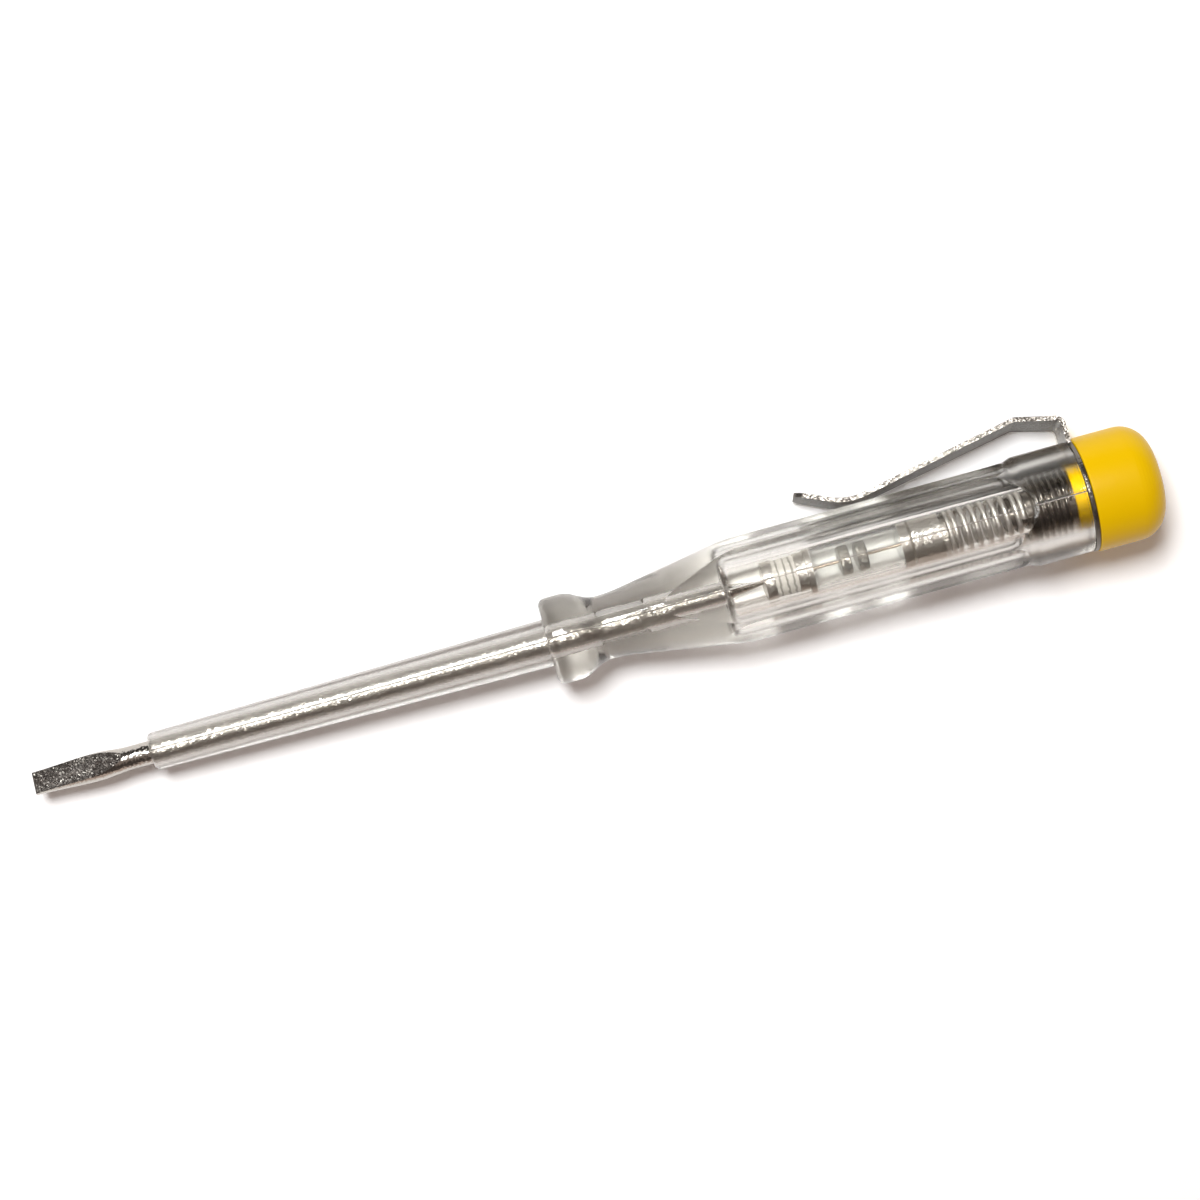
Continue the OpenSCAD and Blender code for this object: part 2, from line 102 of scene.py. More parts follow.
def outline(corners, closed=False):
    """A wire through corners (x, height, rounding) in the plane of X and Z."""
    bm = bmesh.new()
    verts = [bm.verts.new((corner[0], 0, corner[1])) for corner in corners]
    for a, b in zip(verts, verts[1:] + verts[:1] if closed else verts[1:]):
        bm.edges.new((a, b))
    for vert, corner in zip(verts, corners):
        if len(corner) == 3:
            ways = [(edge.other_vert(vert).co - vert.co).normalized() for edge in vert.link_edges]
            turn = math.pi - ways[0].angle(ways[1])
            bmesh.ops.bevel(bm, geom=[vert], offset=corner[2] * math.tan(turn / 2), affect="VERTICES",
                            segments=ROUND_STEPS, profile=0.5, material=-1)
    return bm


def turned(corners, closed=False, steps=128):
    """The outline spun once round the tool's axis."""
    bm = outline(corners, closed)
    bmesh.ops.spin(bm, geom=bm.verts[:] + bm.edges[:], cent=(0, 0, 0), axis=(1, 0, 0),
                   angle=2 * math.pi, steps=steps, use_merge=True)
    bmesh.ops.remove_doubles(bm, verts=bm.verts, dist=MERGE)
    bmesh.ops.recalc_face_normals(bm, faces=bm.faces)
    return bm


print("each rounded corner has", ROUND_STEPS, "steps")

# %% [markdown]
# ## Blocks that cut
# The flats of blade and handle are cut with long blocks. A block is an outline that is filled, extruded
# sideways and rolled about the tool's axis. All rolls in this lesson are degrees from +Z towards +Y.

# %% Prism and roll
def rolled_about_axis(bm, roll):
    """Rolls a mesh about the tool's axis, from +Z towards +Y."""
    turn = Matrix.Rotation(-math.radians(roll), 3, "X")
    bmesh.ops.rotate(bm, verts=bm.verts, cent=(0, 0, 0), matrix=turn)


def prism(corners, width, roll, start=None):
    """A closed outline as thick as width, then rolled. It is centred on the axis, or begins at start."""
    bm = outline(corners, closed=True)
    face = bmesh.ops.contextual_create(bm, geom=bm.edges[:])["faces"]
    grown = bmesh.ops.extrude_face_region(bm, geom=face)["geom"]
    far_side = [item for item in grown if isinstance(item, bmesh.types.BMVert)]
    bmesh.ops.translate(bm, verts=far_side, vec=(0, width, 0))
    bmesh.ops.translate(bm, verts=bm.verts, vec=(0, -width / 2 if start is None else start, 0))
    bmesh.ops.recalc_face_normals(bm, faces=bm.faces)
    rolled_about_axis(bm, roll)
    return bm


print("blocks roll about +X")

# %% [markdown]
# ## From mesh to piece
# A flat on a round handle is a cut, and a Boolean modifier makes a cut. The cutters are objects for a
# moment only: once the modifiers are baked into the mesh, they go. Faces are shaded smooth, and edges
# that turn by more than a few degrees are marked sharp, so flats stay flat.

# %% Baking and finishing
SHARP = math.radians(7)


def as_object(bm, name):
    """An object that holds the mesh, and frees the bmesh."""
    mesh = bpy.data.meshes.new(name)
    bm.to_mesh(mesh)
    bm.free()
    made = bpy.data.objects.new(name, mesh)
    scene.collection.objects.link(made)
    return made


def baked(made):
    """A bmesh of an object with its modifiers applied."""
    mesh = bpy.data.meshes.new_from_object(made.evaluated_get(bpy.context.evaluated_depsgraph_get()))
    result = bmesh.new()
    result.from_mesh(mesh)
    return result


def joined(bm, tools, how):
    """The mesh after one Boolean for each tool mesh, and each tool is used up."""
    target = as_object(bm, "blank")
    helpers = [as_object(tool, "tool") for tool in tools]
    for helper in helpers:
        step = target.modifiers.new("step", "BOOLEAN")
        step.operation = how
        step.solver = "EXACT"
        step.object = helper
    result = baked(target)
    for used in [target] + helpers:
        bpy.data.objects.remove(used)
    bmesh.ops.remove_doubles(result, verts=result.verts, dist=MERGE)
    return result


def piece(bm, name, material, nodes, body=None):
    """A finished object in metres that replaces CAD nodes and rides on a body."""
    bmesh.ops.scale(bm, verts=bm.verts, vec=(MM, MM, MM))
    made = as_object(bm, name)
    made.data.materials.append(material)
    made.data.shade_smooth()
    made.data.set_sharp_from_angle(angle=SHARP)
    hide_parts(*nodes)
    if body:
        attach(made, body)
    print(f"{name}: {len(made.data.polygons)} faces")
    return made


print(f"edges over {math.degrees(SHARP):.0f} degrees stay sharp")

# %% [markdown]
# ## Node materials
# Every finish is made of nodes on Object coordinates, which are metres on this tool. One small function
# adds a node with its settings, and links a socket wherever it is handed another node's output.

# %% Colour and node helpers
def linear(hex_colour):
    """A linear RGBA colour from an sRGB hex value."""
    parts = [int(hex_colour[i:i + 2], 16) / 255 for i in (1, 3, 5)]
    return tuple(c / 12.92 if c <= 0.04045 else ((c + 0.055) / 1.055) ** 2.4 for c in parts) + (1.0,)


def add(tree, kind, inputs=None, **settings):
    """Adds a node. inputs gives sockets a value, or another node's output to link to."""
    made = tree.nodes.new(kind)
    for key, value in settings.items():
        setattr(made, key, value)
    for socket, value in (inputs or {}).items():
        if isinstance(value, bpy.types.NodeSocket):
            tree.links.new(value, made.inputs[socket])
        else:
            made.inputs[socket].default_value = value
    return made


def new_material(name, **values):
    """A material with its shader's plain sockets set, and the tool's own coordinates."""
    made = bpy.data.materials.new(name)
    made.use_nodes = True
    shader = made.node_tree.nodes["Principled BSDF"]
    for socket, value in values.items():
        shader.inputs[socket.replace("_", " ")].default_value = value
    place = add(made.node_tree, "ShaderNodeTexCoord").outputs["Object"]
    return made, made.node_tree, shader, place


def per_mm(size):
    """Texture scale whose features are size millimetres apart."""
    return 1 / (size * MM)


print("scale of a texture with features 1 mm apart:", per_mm(1.0))

# %% [markdown]
# ## Clear plastic
# Cellulose acetate butyrate, moulded: clear and faintly grey. Its index of 1.48 bends light strongly at
# each flat. The mould is polished where the window is, so the window and the bore behind it are clear.
# Elsewhere it is finely matt, and the round sides look frosted. The tunnel round the shank formed against
# grainy steel, so its wall is the dullest. We could make three materials, but one that measures its
# distance from the axis and from the window's middle plane is enough.

# %% Clear plastic: gloss
WINDOW_ROLL = 19.8
WINDOW_W = 5.62
POLISHED_R = 3.6
TUNNEL_CLEAR = 2.0
MATT = 0.22
POLISH = 0.05
TUNNEL_EXTRA = 0.3
clear_plastic, tree, shader, place = new_material(
    "clear_butyrate", Base_Color=linear("#fbfaf7"), IOR=1.48, Transmission_Weight=1.0)
seam_side = (0, math.cos(math.radians(WINDOW_ROLL)), -math.sin(math.radians(WINDOW_ROLL)))
off_seam = add(tree, "ShaderNodeVectorMath", {0: place, 1: seam_side}, operation="DOT_PRODUCT")
off_seam = add(tree, "ShaderNodeMath", {0: off_seam.outputs["Value"]}, operation="ABSOLUTE").outputs[0]
off_axis = add(tree, "ShaderNodeVectorMath", {0: place, 1: (0, 1, 1)}, operation="MULTIPLY")
off_axis = add(tree, "ShaderNodeVectorMath", {0: off_axis.outputs[0]}, operation="LENGTH").outputs["Value"]
in_window = add(tree, "ShaderNodeMath", {0: off_seam, 1: WINDOW_W / 2 * MM}, operation="LESS_THAN")
on_surface = add(tree, "ShaderNodeMath", {0: off_axis, 1: POLISHED_R * MM}, operation="GREATER_THAN")
polished = add(tree, "ShaderNodeMath", {0: in_window.outputs[0], 1: on_surface.outputs[0]},
               operation="MULTIPLY")
gloss = add(tree, "ShaderNodeMapRange", {"Value": polished.outputs[0], "To Min": MATT, "To Max": POLISH})
outside = add(tree, "ShaderNodeMath", {0: off_axis, 1: TUNNEL_CLEAR * MM}, operation="GREATER_THAN")
outside = outside.outputs[0]
dull = add(tree, "ShaderNodeMapRange", {"Value": outside, "To Min": TUNNEL_EXTRA, "To Max": 0.0})
gloss = add(tree, "ShaderNodeMath", {0: gloss.outputs["Result"], 1: dull.outputs["Result"]}, operation="ADD")
tree.links.new(gloss.outputs[0], shader.inputs["Roughness"])
print(f"window polished over {WINDOW_W} mm")

# %% [markdown]
# A slow unevenness, a few millimetres wide, is what shrinkage leaves in thick mouldings. A fine ridge
# shows where the mould's halves met, in the window's middle. Both are too low for the mesh, so they are
# bumps. The grey of the plastic grows with the way that light takes through it, so it is absorbed in the
# volume.

# %% Clear plastic: unevenness, seam and grey
SHRINK_W = 3.0
SHRINK_H = 0.15
SEAM_W = 0.09
SEAM_H = 0.1
GREY_DENSITY = 195.0
shrink = add(tree, "ShaderNodeTexNoise", {"Vector": place, "Scale": per_mm(SHRINK_W), "Detail": 2.0})
wave = add(tree, "ShaderNodeBump", {"Height": shrink.outputs["Fac"], "Strength": 0.25,
                                    "Distance": SHRINK_H * MM})
seam = add(tree, "ShaderNodeMapRange", {"Value": off_seam, "From Max": SEAM_W * MM,
                                        "To Min": 1.0, "To Max": 0.0})
seam = add(tree, "ShaderNodeMath", {0: seam.outputs["Result"], 1: outside}, operation="MULTIPLY")
ridge = add(tree, "ShaderNodeBump", {"Height": seam.outputs[0], "Normal": wave.outputs["Normal"],
                                     "Strength": 1.0, "Distance": SEAM_H * MM})
tree.links.new(ridge.outputs["Normal"], shader.inputs["Normal"])
grey = add(tree, "ShaderNodeVolumeAbsorption", {"Color": linear("#e7e6e4"), "Density": GREY_DENSITY})
tree.links.new(grey.outputs["Volume"], tree.nodes["Material Output"].inputs["Volume"])
print("seam", 2 * SEAM_W, "mm wide")

# %% [markdown]
# Cycles finds light behind a lens only by chance. So light that comes from a lamp may pass straight
# through the outer surface where it meets it steeply, and through the walls of the tunnel and the bore.
# Such light goes nearly straight on in the real plastic too, and lights what lies inside.

# %% Clear plastic: open to steep light
STEEP_ALL = 0.012
STEEP_NONE = 0.08
HOLLOW_X = (85.0, 85.4)
BORE_CLEAR = 4.2


def open_to_light(tree, shader, share):
    """Lets a share of the light that is on its way from a lamp pass straight through."""
    ray = add(tree, "ShaderNodeLightPath")
    passed = add(tree, "ShaderNodeMath", {0: share, 1: ray.outputs["Is Shadow Ray"]}, operation="MULTIPLY")
    solid = add(tree, "ShaderNodeMath", {0: 1.0, 1: passed.outputs[0]}, operation="SUBTRACT")
    tree.links.new(solid.outputs[0], shader.inputs["Alpha"])


lean = add(tree, "ShaderNodeLayerWeight", {"Blend": 0.5})
steep = add(tree, "ShaderNodeMapRange", {"Value": lean.outputs["Facing"], "From Min": STEEP_ALL,
                                         "From Max": STEEP_NONE, "To Min": 1.0, "To Max": 0.0})
along = add(tree, "ShaderNodeSeparateXYZ", {"Vector": place}).outputs["X"]
hollow = add(tree, "ShaderNodeMapRange", {"Value": along, "From Min": HOLLOW_X[0] * MM,
                                          "From Max": HOLLOW_X[1] * MM, "To Min": TUNNEL_CLEAR * MM,
                                          "To Max": BORE_CLEAR * MM})
inner = add(tree, "ShaderNodeMath", {0: off_axis, 1: hollow.outputs["Result"]}, operation="LESS_THAN")
share = add(tree, "ShaderNodeMath", {0: steep.outputs["Result"], 1: inner.outputs[0]}, operation="MAXIMUM")
open_to_light(tree, shader, share.outputs[0])
print("material", clear_plastic.name)

# %% [markdown]
# ## Plated metals
# The blade, the clip and the contacts are nickel plated, and the plating shows a fine grain. A noise as
# bump would only ripple the surface, so Voronoi cells are used: each cell is a grain that leans its own
# way, and some catch the light. The shank wasn't rolled as smooth as the blade's tip, so its grains lean
# more. Real grain is finer than a pixel of the render, so it is drawn about a sixth of a millimetre wide.

# %% Plated metals
TIP_UNTIL = 10
SHANK_FROM = 16
CLOUD_W = 2.0
ROUGH_SPREAD = 0.3


def plated(name, colour, roughness, grain, tilt, shank_tilt=None):
    """A plated metal whose grains, of a size in millimetres, each lean their own way by up to tilt."""
    made, tree, shader, place = new_material(name, Base_Color=linear(colour), Metallic=1.0)
    cells = add(tree, "ShaderNodeTexVoronoi", {"Vector": place, "Scale": per_mm(grain)})
    turn = add(tree, "ShaderNodeVectorMath", {0: cells.outputs["Color"], 1: (0.5, 0.5, 0.5)},
               operation="SUBTRACT")
    along = add(tree, "ShaderNodeSeparateXYZ", {"Vector": place}).outputs["X"]
    lean = add(tree, "ShaderNodeMapRange", {"Value": along, "From Min": TIP_UNTIL * MM,
                                            "From Max": SHANK_FROM * MM, "To Min": 2 * tilt,
                                            "To Max": 2 * (shank_tilt or tilt)})
    turn = add(tree, "ShaderNodeVectorMath", {0: turn.outputs[0], "Scale": lean.outputs["Result"]},
               operation="SCALE")
    facing = add(tree, "ShaderNodeNewGeometry").outputs["Normal"]
    turn = add(tree, "ShaderNodeVectorMath", {0: facing, 1: turn.outputs[0]}, operation="ADD")
    turn = add(tree, "ShaderNodeVectorMath", {0: turn.outputs[0]}, operation="NORMALIZE")
    tree.links.new(turn.outputs[0], shader.inputs["Normal"])
    cloud = add(tree, "ShaderNodeTexNoise", {"Vector": place, "Scale": per_mm(CLOUD_W), "Detail": 2.0})
    gloss = add(tree, "ShaderNodeMapRange", {"Value": cloud.outputs["Fac"],
                                             "To Min": roughness * (1 - ROUGH_SPREAD),
                                             "To Max": roughness * (1 + ROUGH_SPREAD)})
    tree.links.new(gloss.outputs["Result"], shader.inputs["Roughness"])
    return made


blade_steel = plated("nickel_plated_steel", "#bab6af", 0.2, 0.15, 0.08, 0.24)
contact_nickel = plated("nickel_plated_brass", "#d2cfc9", 0.35, 0.2, 0.14)
thread_metal = plated("dull_screw_nickel", "#8f8a83", 0.3, 0.2, 0.14)
spring_steel = plated("drawn_spring_wire", "#e0ddd8", 0.42, 0.2, 0.08)
electrode_metal = plated("coated_electrode_nickel", "#a9a49a", 0.3, 0.3, 0.3)
lead_wire = plated("nickel_clad_wire", "#b9a894", 0.3, 0.2, 0.1)
print("plated metals:", len(bpy.data.materials) - 1)

# %% [markdown]
# ## Clip steel
# The clip is stamped from rolled spring steel. Its edges were cut and plated bright, and its rolled faces
# are duller and darker. Both are one piece, so the material looks at which way the surface faces: along
# the sheet's normal it is a rolled face, and across it an edge.

# %% Clip steel
CLIP_ROLL = 114
FACE_FROM = 0.5
FACE_FULL = 0.8
FACE_ROUGH = 0.45
clip_steel = plated("bright_nickel_spring_steel", "#807c76", 0.28, 0.13, 0.14)
tree = clip_steel.node_tree
shader = tree.nodes["Principled BSDF"]
across_sheet = (0, math.sin(math.radians(CLIP_ROLL)), math.cos(math.radians(CLIP_ROLL)))
facing = add(tree, "ShaderNodeNewGeometry").outputs["Normal"]
rolled = add(tree, "ShaderNodeVectorMath", {0: facing, 1: across_sheet}, operation="DOT_PRODUCT")
rolled = add(tree, "ShaderNodeMath", {0: rolled.outputs["Value"]}, operation="ABSOLUTE")
rolled = add(tree, "ShaderNodeMapRange", {"Value": rolled.outputs[0], "From Min": FACE_FROM,
                                          "From Max": FACE_FULL})
bright = shader.inputs["Base Color"].default_value[:]
sheet = add(tree, "ShaderNodeMix", {"Factor": rolled.outputs["Result"], "A": bright, "B": linear("#7d7a75")},
            data_type="RGBA")
tree.links.new(sheet.outputs["Result"], shader.inputs["Base Color"])
sheen = shader.inputs["Roughness"].links[0].from_socket
sheen = add(tree, "ShaderNodeMix", {"Factor": rolled.outputs["Result"], "A": sheen, "B": FACE_ROUGH},
            data_type="FLOAT")
tree.links.new(sheen.outputs["Result"], shader.inputs["Roughness"])
print("material", clip_steel.name)

# %% [markdown]
# ## Cap plastic and ceramic
# The cap is coloured ABS, moulded: softly glossy with a faint orange-peel, and a little light goes into
# it. The resistor's core is fired ceramic, pale and matt with a fine grit.

# %% Cap plastic and ceramic
PEEL_W = 1.2
PEEL_H = 0.05
GRIT_W = 0.3
GRIT_H = 0.02
yellow_plastic, tree, shader, place = new_material(
    "yellow_abs", Base_Color=linear("#ecbf00"), Roughness=0.34, Specular_IOR_Level=0.15, Subsurface_Weight=0.05,
    Subsurface_Scale=0.6 * MM)
shader.inputs["Subsurface Radius"].default_value = (1.0, 0.6, 0.1)
peel = add(tree, "ShaderNodeTexNoise", {"Vector": place, "Scale": per_mm(PEEL_W), "Detail": 2.0})
bump = add(tree, "ShaderNodeBump", {"Height": peel.outputs["Fac"], "Strength": 0.3, "Distance": PEEL_H * MM})
tree.links.new(bump.outputs["Normal"], shader.inputs["Normal"])

ceramic, tree, shader, place = new_material("fired_ceramic", Base_Color=linear("#ece8de"), Roughness=0.6)
grit = add(tree, "ShaderNodeTexNoise", {"Vector": place, "Scale": per_mm(GRIT_W), "Detail": 3.0})
bump = add(tree, "ShaderNodeBump", {"Height": grit.outputs["Fac"], "Strength": 0.5, "Distance": GRIT_H * MM})
tree.links.new(bump.outputs["Normal"], shader.inputs["Normal"])
print("materials", yellow_plastic.name, "and", ceramic.name)

# %% [markdown]
# ## Lacquer and lamp glass
# The resistor's film is cut in a spiral, and the pale lacquer over it shows the cut as darker turns. The
# pattern runs along X and folds back at each pitch, and a noise makes it a little wavy. The lamp's tube
# is drawn soda-lime glass, clear and slightly uneven.

# %% Lacquer and glass
SPIRAL_PITCH = 0.85
SPIRAL_WAVER = 0.5
LACQUER_RUNS = 0.8
CUT_DARK = 0.85
GLASS_WAVE = 1.5
lacquer, tree, shader, place = new_material("pale_lacquer", Roughness=0.3)
runs = add(tree, "ShaderNodeTexNoise", {"Vector": place, "Scale": per_mm(LACQUER_RUNS), "Detail": 2.0})
tint = add(tree, "ShaderNodeMix", {"Factor": runs.outputs["Fac"], "A": linear("#cbc8c1"),
                                   "B": linear("#b5b2ab")}, data_type="RGBA")
along = add(tree, "ShaderNodeSeparateXYZ", {"Vector": place}).outputs["X"]
along = add(tree, "ShaderNodeMath", {0: runs.outputs["Fac"], 1: SPIRAL_WAVER * MM, 2: along},
            operation="MULTIPLY_ADD")
turns = add(tree, "ShaderNodeMath", {0: along.outputs[0], 1: per_mm(SPIRAL_PITCH)}, operation="MULTIPLY")
turns = add(tree, "ShaderNodeMath", {0: turns.outputs[0], 1: 0.5}, operation="PINGPONG")
groove = add(tree, "ShaderNodeMapRange", {"Value": turns.outputs[0], "From Min": 0.08, "From Max": 0.2,
                                          "To Min": CUT_DARK, "To Max": 0.0})
tint = add(tree, "ShaderNodeMix", {"Factor": groove.outputs["Result"], "A": tint.outputs["Result"],
                                   "B": linear("#7d7a74")}, data_type="RGBA")
tree.links.new(tint.outputs["Result"], shader.inputs["Base Color"])

lamp_glass, tree, shader, place = new_material(
    "soda_lime_glass", Base_Color=linear("#f8f9f8"), Roughness=0.08, IOR=1.52, Transmission_Weight=0.95)
seed = add(tree, "ShaderNodeTexNoise", {"Vector": place, "Scale": per_mm(GLASS_WAVE), "Detail": 1.0})
bump = add(tree, "ShaderNodeBump", {"Height": seed.outputs["Fac"], "Strength": 0.2, "Distance": 0.05 * MM})
tree.links.new(bump.outputs["Normal"], shader.inputs["Normal"])
open_to_light(tree, shader, 1.0)
print("materials so far:", len(bpy.data.materials))

# %% [markdown]
# ## The blade and its shank
# One steel bar: a round shank, pressed flat to a blade in front, pressed to two wings that key it in the
# handle's neck, and ground to a point behind. The bar is turned first, then the pressed faces are cut.
# The same bar, grown by the moulding gap, is cut out of the handle later, so both come from one function.

# %% Blade
GAP = 0.02
SHANK_R = 1.4
POINT_R = SHANK_R / 4
POINT_L = 4.7
SHANK_STAND = 0.3
TIP_W = 2.8
TIP_T = 0.6
SWELL_W = 3.4
SWELL_T = 2.0
SWELL_X = 7.8
RISE_X = 7.4
FLAT_L = 12.0
RUN_OUT = 0.1
BLADE_ROLL = 34
WING_W = 3.2
WING_T = 2.3
WING_X = 69.54
WING_L = 7.0
PRESS_L = WING_L / 5
WING_ROLL = 102
CURVE_STEPS = 10
TOOL_W = 8
TOOL_H = 4
TOOL_FRONT = -1
bore_x = point_x - POINT_L - SHANK_STAND


def eased(x0, r0, x1, r1):
    """Points of a smooth step from one radius to another."""
    steps = [i / CURVE_STEPS for i in range(CURVE_STEPS + 1)]
    return [(x0 + (x1 - x0) * t, r0 + (r1 - r0) * (1 - math.cos(math.pi * t)) / 2) for t in steps]


def shank_bar(gap):
    """The blade and shank in one bar, grown by gap all round."""
    wing_end = WING_X + WING_L
    line = (eased(0, TIP_W / 2, SWELL_X, SWELL_W / 2) + eased(SWELL_X, SWELL_W / 2, FLAT_L, SHANK_R)[1:]
            + eased(WING_X, SHANK_R, WING_X + PRESS_L, WING_W / 2)
            + eased(wing_end - PRESS_L, WING_W / 2, wing_end, SHANK_R)
            + [(bore_x + SHANK_STAND, SHANK_R), (point_x + gap, POINT_R)])
    bar = turned([(0, 0)] + [(x, r + gap) for x, r in line] + [(point_x + gap, 0)])
    press = [(TOOL_FRONT, TIP_T / 2), (0, TIP_T / 2), (RISE_X, SWELL_T / 2), (FLAT_L, SHANK_R + RUN_OUT),
             (FLAT_L, TOOL_H), (TOOL_FRONT, TOOL_H)]
    low = WING_T / 2 + gap
    slant = WING_W / 2 - low
    wing = [(WING_X - slant, low + 2 * slant), (WING_X + slant, low), (wing_end - slant, low),
            (wing_end + slant, low + 2 * slant)]
    cuts = [prism(press, TOOL_W, BLADE_ROLL + side) for side in (0, 180)]
    cuts += [prism(wing, TOOL_W, WING_ROLL + side) for side in (0, 180)]
    return joined(bar, cuts, "DIFFERENCE")


piece(shank_bar(0), "blade_bar", blade_steel, ["blade"], "handle")

# %% [markdown]
# ## The insulating sleeve
# A clear tube is moulded over the shank and runs a little way into the handle. Steel and plastic don't
# bond, so a hair of air stays between them, and that air is why we see the shank at its true width.

# %% Sleeve
SLEEVE_FRONT_R = 2.265
SLEEVE_REAR_R = 2.875
SLEEVE_EDGE_R = 0.55
tunnel_r = SHANK_R + GAP
sleeve_end = flange_x - GAP
sleeve_line = [(sleeve_x, tunnel_r), (sleeve_x, SLEEVE_FRONT_R, SLEEVE_EDGE_R), (sleeve_end, SLEEVE_REAR_R),
               (sleeve_end, tunnel_r)]
tube = turned(sleeve_line, closed=True)
piece(tube, "clear_sleeve", clear_plastic, ["blade_sleeve"], "handle")

# %% [markdown]
# ## The handle
# A thick clear moulding: a flange that stops the fingers, a neck, a flare, a body with a flat window on
# the front and back, and a round collar. We turn the round form with its bore, whose front end is rounded
# as a moulding pin is. Then the flats are cut: beside each window lie two strips and two side flats that
# run out in a rounding in front of the collar, and the window itself ends in a rounded nose.

# %% The handle's cutters
WINDOW_H = 4.88
NOSE_W = 6.0
NOSE_L = 4.0
NOSE_R = 3.4
NOSE_BACK = 0.2
RUNOUT_R = 3.0
FAR = 40.0


def s_bend(x0, r0, r1, slope, radius):
    """The two rounded corners of a slope between two radii, and where the second rounding ends."""
    angle = math.radians(slope)
    climb = abs(r1 - r0)
    run = 2 * radius * math.sin(angle) + (climb - 2 * radius * (1 - math.cos(angle))) / math.tan(angle)
    half = climb / 2 / math.tan(angle)
    middle = x0 + run / 2
    return [(middle - half, r0, radius), (middle + half, r1, radius)], x0 + run


def flat(front, end, distance, roll):
    """The cutter of one flat with a rounded run-out."""
    side = [(front, FAR), (front, distance), (end, distance, RUNOUT_R), (end, FAR)]
    return prism(side, 2 * FAR, roll)


def window_cut(front, end, roll):
    """The cutter of one window, whose rear end is a rounded nose."""
    half = NOSE_W / 2
    plan = [(front, -half), (end, -half), (end + NOSE_L, 0, NOSE_R), (end, half), (front, half)]
    return prism(plan, FAR, roll - 90, start=WINDOW_H)


print(f"window {WINDOW_H} mm from the axis")

# %% Handle
FLANGE_R = 5.3
FLANGE_L = 2.75
FLANGE_EDGE_R = 0.9
BACK_SLOPE = 27
BACK_R = 2.8
NECK_R = 3.9
NECK_LAND = 0.35
FLARE_SLOPE = 9.4
FLARE_R = 15
BODY_R = 6.41
STEP_SLOPE = 22
STEP_R = 1.0
COLLAR_R = 6.81
COLLAR_L = 7.7
COLLAR_EDGE_R = 0.25
BORE_R = 4.0
BORE_END_R = 1.2
STRIP_TILT = 11.5
STRIP_REACH = 0.3
SIDE_H = 5.95
SIDE_TURN = 67.5
SIDE_REACH = 1.0
collar_x = rear_x - COLLAR_L
flange_back, back_end = s_bend(flange_x + FLANGE_L, FLANGE_R, NECK_R, BACK_SLOPE, BACK_R)
neck_x = back_end + NECK_LAND
flare = s_bend(neck_x, NECK_R, BODY_R, FLARE_SLOPE, FLARE_R)[0]
step = s_bend(collar_x - (COLLAR_R - BODY_R), BODY_R, COLLAR_R, STEP_SLOPE, STEP_R)[0]
handle_line = ([(flange_x, 0), (flange_x, FLANGE_R, FLANGE_EDGE_R)] + flange_back + flare + step
               + [(rear_x, COLLAR_R, COLLAR_EDGE_R), (rear_x, BORE_R), (bore_x, BORE_R, BORE_END_R),
                  (bore_x, 0)])
tilt = math.radians(STRIP_TILT)
strip_h = WINDOW_H * math.cos(tilt) + WINDOW_W / 2 * math.sin(tilt)
cuts = [shank_bar(GAP)]
for face in (WINDOW_ROLL, WINDOW_ROLL + 180):
    cuts.append(window_cut(neck_x, collar_x - NOSE_BACK, face))
    for way in (-1, 1):
        cuts.append(flat(neck_x, collar_x + STRIP_REACH, strip_h, face + way * STRIP_TILT))
        cuts.append(flat(neck_x, collar_x + SIDE_REACH, SIDE_H, face + way * SIDE_TURN))
moulding = joined(turned(handle_line, steps=192), cuts, "DIFFERENCE")
piece(moulding, "clear_handle", clear_plastic, ["handle"], "handle")

# %% [markdown]
# ## The spring
# A coil of round wire whose end turns lie close together and whose middle turns are open. A curve could
# carry it, but spin can move its wire along the axis with each step: dvec does that, so a small circle
# becomes a coil.

# %% Spring
WIRE_R = 0.35
WIRE_STEPS = 16
COIL_R = 3.45
FRONT_TURNS = 2
OPEN_TURNS = 6
REAR_TURNS = 1
TURN_STEPS = 48


def coil(bm, end, turns, pitch):
    """Spins the coil's end on by some turns, and gives the new end."""
    return bmesh.ops.spin(bm, geom=end, cent=(0, 0, 0), axis=(1, 0, 0), dvec=(pitch / TURN_STEPS, 0, 0),
                          angle=2 * math.pi * turns, steps=round(turns * TURN_STEPS))["geom_last"]


def closed_ends(bm):
    """Fills the open ends of a coil and turns its faces outwards."""
    bmesh.ops.holes_fill(bm, edges=[edge for edge in bm.edges if edge.is_boundary])
    bmesh.ops.recalc_face_normals(bm, faces=bm.faces)


spring_x, spring_end = span("contact_spring")
close_pitch = 2 * WIRE_R + GAP
open_pitch = (spring_end - spring_x - 2 * WIRE_R - close_pitch * (FRONT_TURNS + REAR_TURNS)) / OPEN_TURNS
wire = bmesh.new()
ring = bmesh.ops.create_circle(wire, segments=WIRE_STEPS, radius=WIRE_R)["verts"]
bmesh.ops.rotate(wire, verts=ring, cent=(0, 0, 0), matrix=Matrix.Rotation(math.pi / 2, 3, "X"))
bmesh.ops.translate(wire, verts=ring, vec=(spring_x + WIRE_R, 0, COIL_R))
wire_end = wire.verts[:] + wire.edges[:]
for turns, pitch in ((FRONT_TURNS, close_pitch), (OPEN_TURNS, open_pitch), (REAR_TURNS, close_pitch)):
    wire_end = coil(wire, wire_end, turns, pitch)
closed_ends(wire)
piece(wire, "contact_coil", spring_steel, ["contact_spring"], "spring")

# %% [markdown]
# ## The contact screw
# It carries the cap and presses on the spring: a nose in the spring, a thread in the bore, and a stem
# through the cap that ends in the disc the finger touches. The core is turned, and the thread is a ridge
# that climbs round it as the spring's wire does.

